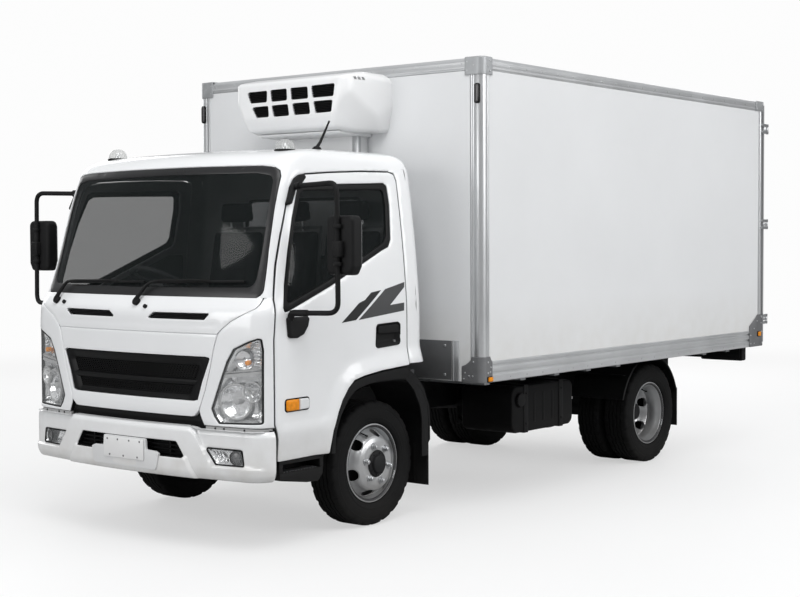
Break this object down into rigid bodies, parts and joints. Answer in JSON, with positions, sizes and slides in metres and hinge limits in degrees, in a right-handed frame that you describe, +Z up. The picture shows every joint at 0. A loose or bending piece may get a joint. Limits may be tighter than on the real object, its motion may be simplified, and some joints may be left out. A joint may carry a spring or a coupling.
{
  "type": "refrigerated box truck",
  "caption": "Light cab-over box truck with an insulated body, nose-mounted cooling unit, tilting cab, steered front wheels, twin rear tyres, hinged cab doors and folding rear doors.",
  "frame": {"origin": "on the ground under the middle of the truck's bounding box", "axes": "+X forward along the truck, +Y to the truck's left, +Z up"},
  "size_m": [6.02, 2.808, 2.882],
  "materials": {
    "white_paint": "gloss white paint",
    "chassis_black": "satin black paint",
    "body_panel": "smooth white laminate",
    "rail_aluminium": "natural extruded aluminium",
    "floor_aluminium": "ribbed floor",
    "black_plastic": "moulded black plastic",
    "lamp": "clear lens over a bright reflector",
    "tail_lamp": "red lens in a black case",
    "glass": "lightly tinted",
    "cast_grey": "engine and axle castings",
    "interior_grey": "grained grey plastic",
    "seat_fabric": "woven grey cloth",
    "rim_silver": "silver paint",
    "tyre_black": "black rubber"
  },
  "bodies": {
    "chassis": {"frame_rails": "chassis_black", "frame_crossmembers": "chassis_black", "front_axle": "cast_grey", "rear_axle": "cast_grey", "leaf_springs": "cast_grey", "engine": "cast_grey", "drive_shaft": "cast_grey", "fuel_tank": "chassis_black", "battery_box": "chassis_black", "front_mudguards": "black_plastic", "rear_mudguards": "black_plastic", "tail_lamps": "tail_lamp", "box_floor": "floor_aluminium", "box_side_walls": "body_panel", "box_front_wall": "body_panel", "box_roof": "body_panel", "box_posts": "rail_aluminium", "box_rails": "rail_aluminium", "cooling_unit": "white_paint"},
    "cab": {"cab_floor": "interior_grey", "cab_roof": "white_paint", "cab_sides": "white_paint", "cab_rear_wall": "white_paint", "front_panel": "white_paint", "cab_glass": "glass", "grille": "black_plastic", "headlamps": "lamp", "bumper": "white_paint", "fog_lamps": "black_plastic", "cab_steps": "black_plastic", "arch_liners": "black_plastic", "dashboard": "interior_grey", "seats": "seat_fabric", "roof_beacons": "lamp"},
    "left_cab_door": {"left_door": "white_paint", "left_door_glass": "glass", "left_mirror": "black_plastic"},
    "right_cab_door": {"right_door": "white_paint", "right_door_glass": "glass", "right_mirror": "black_plastic"},
    "steering": {"steering_wheel": "black_plastic"},
    "knuckle_left": {"left_knuckle": "cast_grey"},
    "knuckle_right": {"right_knuckle": "cast_grey"},
    "front_left_wheel": {"front_left_rim": "rim_silver", "front_left_tyre": "tyre_black"},
    "front_right_wheel": {"front_right_rim": "rim_silver", "front_right_tyre": "tyre_black"},
    "rear_left_wheel": {"rear_left_rims": "rim_silver", "rear_left_tyres": "tyre_black"},
    "rear_right_wheel": {"rear_right_rims": "rim_silver", "rear_right_tyres": "tyre_black"},
    "load_door_left": {"rear_door_left": "body_panel"},
    "load_door_right": {"rear_door_right": "body_panel"}
  },
  "joints": [
    {"name": "cab_tilt", "type": "hinge", "parent": "chassis", "child": "cab", "pos_m": [2.815, 0, 0.56], "axis": [0, 1, 0], "range_deg": [0, 45]},
    {"name": "left_cab_door_swing", "type": "hinge", "parent": "cab", "child": "left_cab_door", "pos_m": [2.77, 1, 1.3], "axis": [0, 0, -1], "range_deg": [0, 70]},
    {"name": "right_cab_door_swing", "type": "hinge", "parent": "cab", "child": "right_cab_door", "pos_m": [2.77, -1, 1.3], "axis": [0, 0, 1], "range_deg": [0, 70]},
    {"name": "steer_left", "type": "hinge", "parent": "chassis", "child": "knuckle_left", "pos_m": [1.815, 0.69, 0.382], "axis": [0, 0, 1], "range_deg": [-35, 35]},
    {"name": "steer_right", "type": "hinge", "parent": "chassis", "child": "knuckle_right", "pos_m": [1.815, -0.69, 0.382], "axis": [0, 0, 1], "range_deg": [-35, 35]},
    {"name": "steering_wheel_turn", "type": "hinge", "parent": "cab", "child": "steering", "pos_m": [2.295, -0.47, 1.47], "axis": [-0.5, 0, 0.866], "range_deg": [-525, 525]},
    {"name": "front_left_roll", "type": "hinge", "parent": "knuckle_left", "child": "front_left_wheel", "pos_m": [1.815, 0.792, 0.382], "axis": [0, 1, 0], "continuous": true},
    {"name": "front_right_roll", "type": "hinge", "parent": "knuckle_right", "child": "front_right_wheel", "pos_m": [1.815, -0.792, 0.382], "axis": [0, 1, 0], "continuous": true},
    {"name": "rear_left_roll", "type": "hinge", "parent": "chassis", "child": "rear_left_wheel", "pos_m": [-1.485, 0.751, 0.382], "axis": [0, 1, 0], "continuous": true},
    {"name": "rear_right_roll", "type": "hinge", "parent": "chassis", "child": "rear_right_wheel", "pos_m": [-1.485, -0.751, 0.382], "axis": [0, 1, 0], "continuous": true},
    {"name": "load_door_left_swing", "type": "hinge", "parent": "chassis", "child": "load_door_left", "pos_m": [-3, 1.24, 1.86], "axis": [0, 0, -1], "range_deg": [0, 270]},
    {"name": "load_door_right_swing", "type": "hinge", "parent": "chassis", "child": "load_door_right", "pos_m": [-3, -1.24, 1.86], "axis": [0, 0, 1], "range_deg": [0, 270]}
  ],
  "couplings": [
    {"joint": "steer_right", "follows": "steer_left", "ratio": 1},
    {"joint": "steering_wheel_turn", "follows": "steer_left", "ratio": 15}
  ]
}
